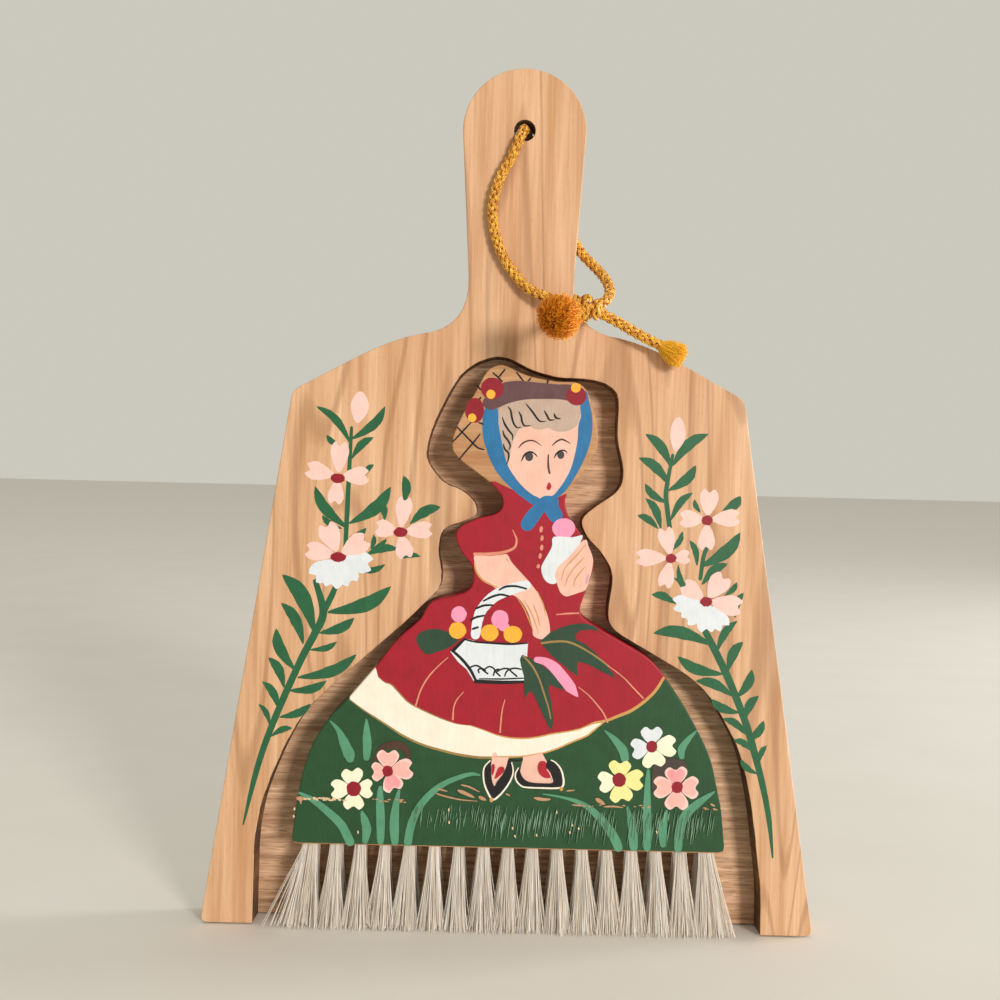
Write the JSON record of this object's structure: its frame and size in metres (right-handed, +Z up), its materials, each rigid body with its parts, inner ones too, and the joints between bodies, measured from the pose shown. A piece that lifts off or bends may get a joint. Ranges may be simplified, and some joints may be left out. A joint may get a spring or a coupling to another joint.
{
  "type": "dust pan and brush set",
  "caption": "Painted wooden crumb pan with a figure-shaped bristle brush nested in its recess and a braided hanging cord.",
  "frame": {"origin": "centre of the hanging hole, on the front face of the pan", "axes": "+Z up along the handle, +X to the right of the painted face, +Y from the painted face into the board; the face looks towards -Y"},
  "size_m": [0.1854, 0.0433, 0.2596],
  "materials": {
    "pan_wood": "clear satin lacquer over a pale hardwood with painted flowers and leaves",
    "plywood": "thin plywood, lightly lacquered, grain across the pan",
    "dowel": "plain beech dowel",
    "painted_figure": "hand-painted in gloss enamel, red, green, cream and blue",
    "painted_stock": "hand-painted in green gloss enamel, crazed and chipped along the joint",
    "staple_wire": "flattened steel wire",
    "cord_braid": "shiny braided rayon cord",
    "bristle": "ivory natural bristle"
  },
  "bodies": {
    "pan": {"pan_frame": "pan_wood", "pan_back": "plywood", "hang_peg": "dowel", "cord_front": "cord_braid", "cord_rear": "cord_braid", "cord_knot": "cord_braid", "cord_end_right": "cord_braid", "cord_end_front": "cord_braid"},
    "brush": {"brush_figure": "painted_figure", "brush_stock": "painted_stock", "tuft_wires": "staple_wire", "tuft_front_01": "bristle", "tuft_front_02": "bristle", "tuft_front_03": "bristle", "tuft_front_04": "bristle", "tuft_front_05": "bristle", "tuft_front_06": "bristle", "tuft_front_07": "bristle", "tuft_front_08": "bristle", "tuft_front_09": "bristle", "tuft_front_10": "bristle", "tuft_front_11": "bristle", "tuft_front_12": "bristle", "tuft_front_13": "bristle", "tuft_front_14": "bristle", "tuft_front_15": "bristle", "tuft_front_16": "bristle", "tuft_front_17": "bristle", "tuft_rear_01": "bristle", "tuft_rear_02": "bristle", "tuft_rear_03": "bristle", "tuft_rear_04": "bristle", "tuft_rear_05": "bristle", "tuft_rear_06": "bristle", "tuft_rear_07": "bristle", "tuft_rear_08": "bristle", "tuft_rear_09": "bristle", "tuft_rear_10": "bristle", "tuft_rear_11": "bristle", "tuft_rear_12": "bristle", "tuft_rear_13": "bristle", "tuft_rear_14": "bristle", "tuft_rear_15": "bristle", "tuft_rear_16": "bristle", "tuft_rear_17": "bristle"}
  },
  "joints": [
    {"name": "brush_lift", "type": "slide", "parent": "pan", "child": "brush", "axis": [0, -1, 0], "range_m": [0, 0.06]}
  ]
}
